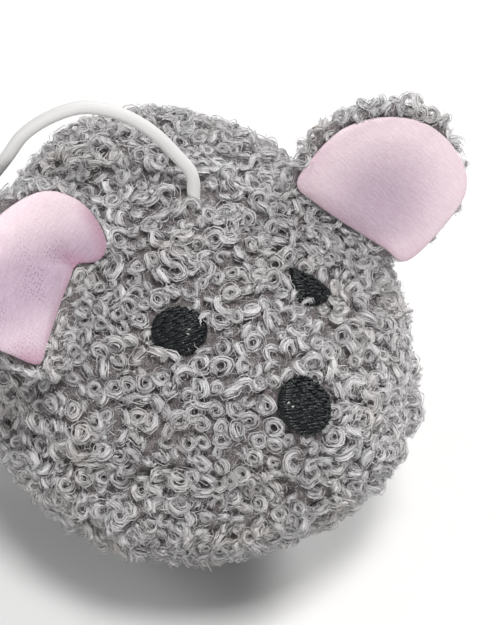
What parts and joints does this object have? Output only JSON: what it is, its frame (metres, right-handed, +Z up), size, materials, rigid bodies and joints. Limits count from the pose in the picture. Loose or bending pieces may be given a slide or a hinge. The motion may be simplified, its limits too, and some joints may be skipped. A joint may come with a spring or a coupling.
{
  "type": "cat teaser wand",
  "caption": "Plush mouse lure with cupped, lined ears on a round elastic cord, tied to a plain wooden hand rod with moulded end caps.",
  "frame": {"origin": "on the ground, at the middle of the box round the mouse and the rod", "axes": "+Z up; the rod lies along Y with its tip towards +Y; the mouse stands on its +X side and faces -Y"},
  "size_m": [0.1369, 0.4275, 0.0847],
  "materials": {
    "pile_cloth": "curly grey pile",
    "jersey": "fine pale pink knit",
    "embroidery": "satin stitch, slight sheen",
    "wadding": "loose white fibre",
    "elastic": "white braided cover over a rubber core",
    "wood": "sanded dowel",
    "cap_plastic": "moulded white"
  },
  "bodies": {
    "wand": {"rod": "wood", "tip_cap": "cap_plastic", "butt_cap": "cap_plastic", "tip_knot": "elastic", "cord_arc": "elastic", "cord_coil": "elastic", "cord_lead": "elastic", "coil_tie": "cap_plastic"},
    "mouse": {"upper_panel": "pile_cloth", "belly_panel": "pile_cloth", "filling": "wadding", "anchor_knot": "elastic", "eye_left_stitching": "embroidery", "eye_right_stitching": "embroidery", "nose_stitching": "embroidery"},
    "ear_left": {"ear_left_back": "pile_cloth", "ear_left_lining": "jersey"},
    "ear_right": {"ear_right_back": "pile_cloth", "ear_right_lining": "jersey"}
  },
  "joints": [
    {"name": "mouse_turn", "type": "hinge", "parent": "wand", "child": "mouse", "pos_m": [0.0262, 0.0571, 0.069], "axis": [0, 0, 1], "range_deg": [-5, 135]},
    {"name": "ear_left_flop", "type": "hinge", "parent": "mouse", "child": "ear_left", "pos_m": [0.04937, 0.05076, 0.05899], "axis": [0.5574, -0.3173, -0.7672], "range_deg": [-20, 30], "stiffness_Nm_per_rad": 0.004},
    {"name": "ear_right_flop", "type": "hinge", "parent": "mouse", "child": "ear_right", "pos_m": [0.00303, 0.05076, 0.05899], "axis": [0.6999, 0.5329, 0.4756], "range_deg": [-20, 30], "stiffness_Nm_per_rad": 0.004}
  ]
}
